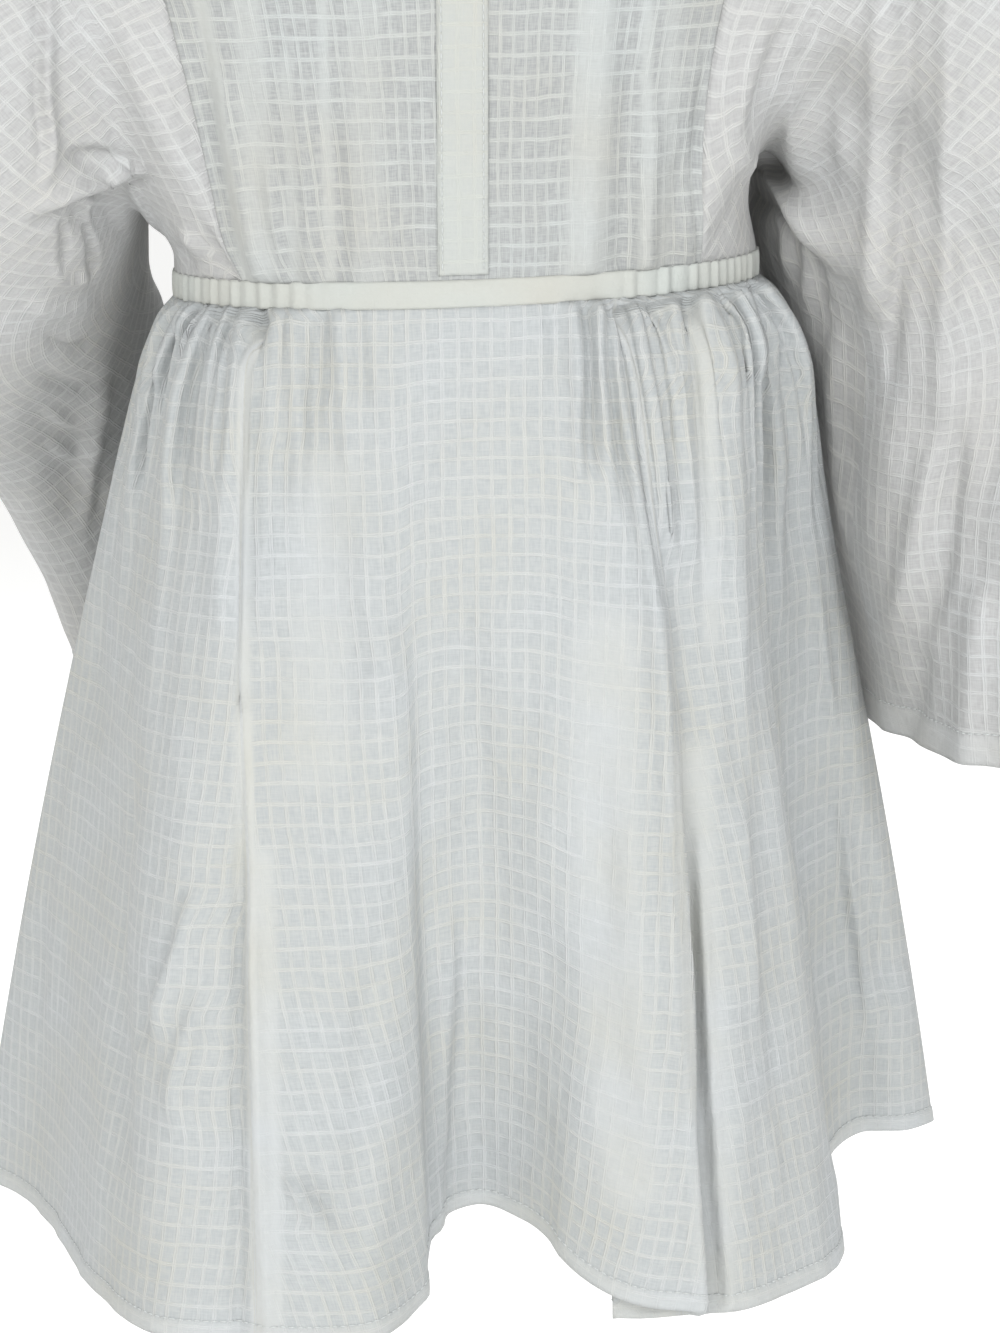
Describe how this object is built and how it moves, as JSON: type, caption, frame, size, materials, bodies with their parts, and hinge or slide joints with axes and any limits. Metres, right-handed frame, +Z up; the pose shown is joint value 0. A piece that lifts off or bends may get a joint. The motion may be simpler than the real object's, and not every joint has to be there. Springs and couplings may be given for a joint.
{
  "type": "mini dress",
  "caption": "Long-sleeved mini dress with a loose bodice, wide sleeves, an elastic waist casing and a full gathered skirt, hollow and shaped as worn.",
  "frame": {"origin": "midway between the shoulders at the height of the side of the neck, where the wearer holds the dress up", "axes": "+Z up along the dress, -Y out of its front, +X towards the side on the right of the front view"},
  "size_m": [0.5773, 0.3731, 0.8227],
  "materials": {
    "bodice_cotton": "sheer crinkled windowpane cotton, matt",
    "sleeve_cotton": "sheer crinkled windowpane cotton cut on the bias, matt",
    "skirt_cotton": "crinkled windowpane cotton, matt",
    "doubled_cotton": "two and more layers of plain cotton, matt"
  },
  "bodies": {
    "root": {"bodice_front": "bodice_cotton", "bodice_back": "bodice_cotton", "front_placket": "doubled_cotton", "neck_binding": "doubled_cotton", "waist_casing": "doubled_cotton", "sleeve_left": "sleeve_cotton", "sleeve_right": "sleeve_cotton", "skirt_front": "skirt_cotton", "skirt_back": "skirt_cotton"}
  },
  "joints": []
}
